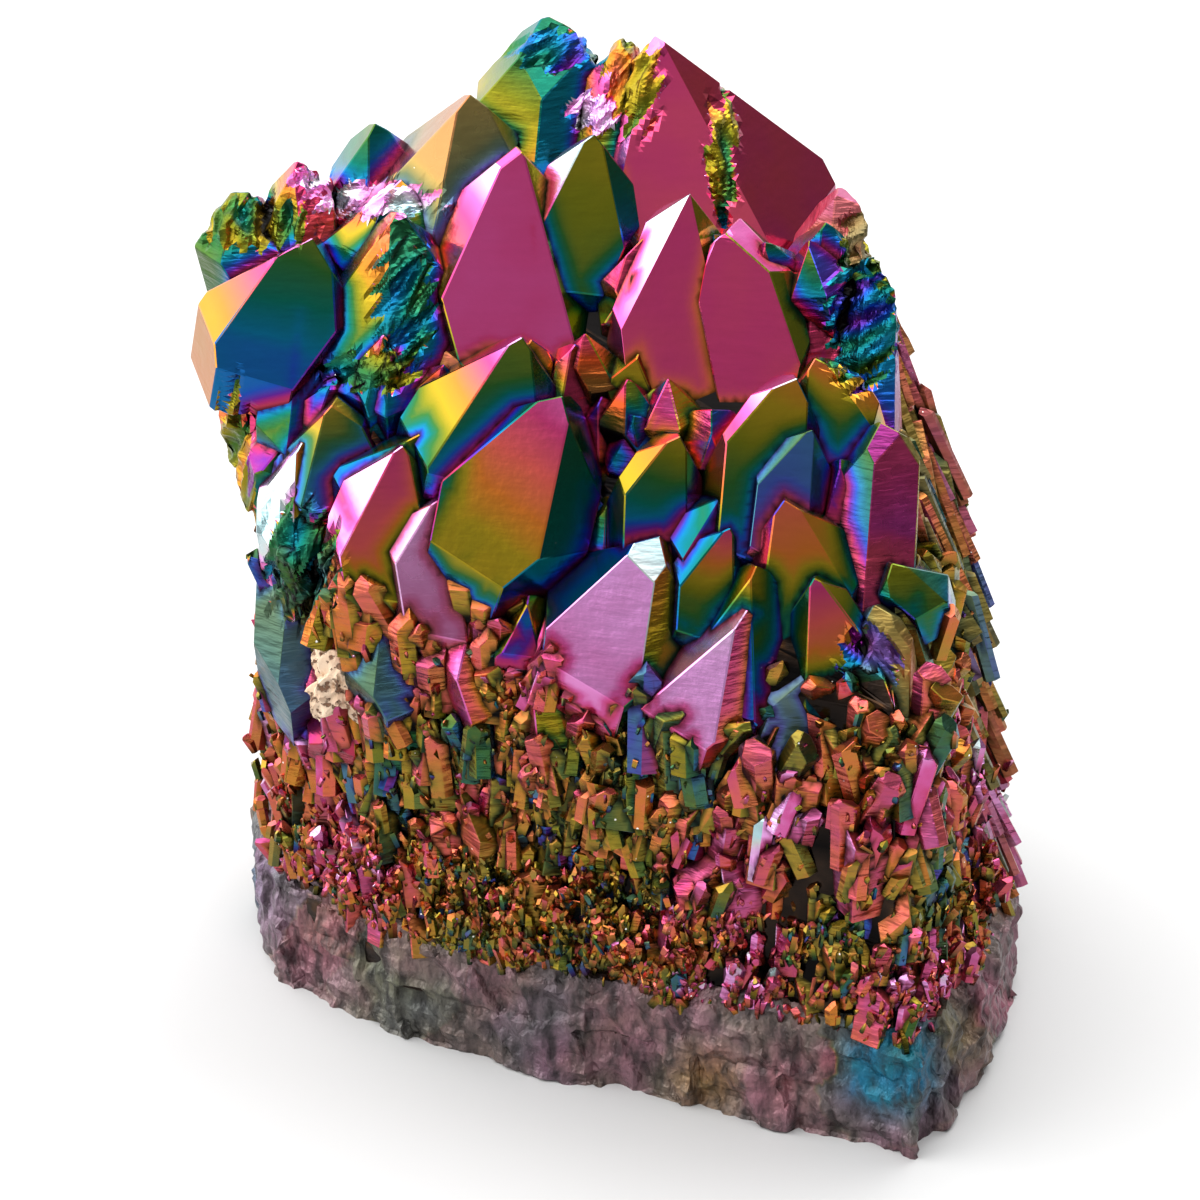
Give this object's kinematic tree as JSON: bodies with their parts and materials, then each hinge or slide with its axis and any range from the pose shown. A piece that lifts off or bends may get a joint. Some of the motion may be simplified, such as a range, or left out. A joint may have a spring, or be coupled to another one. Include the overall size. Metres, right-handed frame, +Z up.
{
  "type": "titanium aura amethyst cluster",
  "caption": "Cluster of fused quartz points with an iridescent metallic coating, on a chunk of crystal crust over a rough grey rind cut flat to stand on.",
  "frame": {"origin": "on the floor, in the flat underside of the rind, near its middle", "axes": "+X to the right and +Y away as seen from the front, where the points slope up and back; +Z up, along the height"},
  "size_m": [0.0713, 0.0613, 0.082],
  "materials": {
    "coated_quartz": "glossy metallic interference coating that runs from silver and magenta on the open faces through orange, olive, green and blue to black in the grooves",
    "coated_crust": "fine broken crystal crust under the same coating, mottled gold, magenta, green and blue",
    "geode_rind": "satin purple-grey broken rock with a thin tint of the coating",
    "tan_crust": "matt porous tan mineral crust"
  },
  "bodies": {
    "root": {"amethyst_cluster": "coated_quartz"}
  },
  "joints": []
}
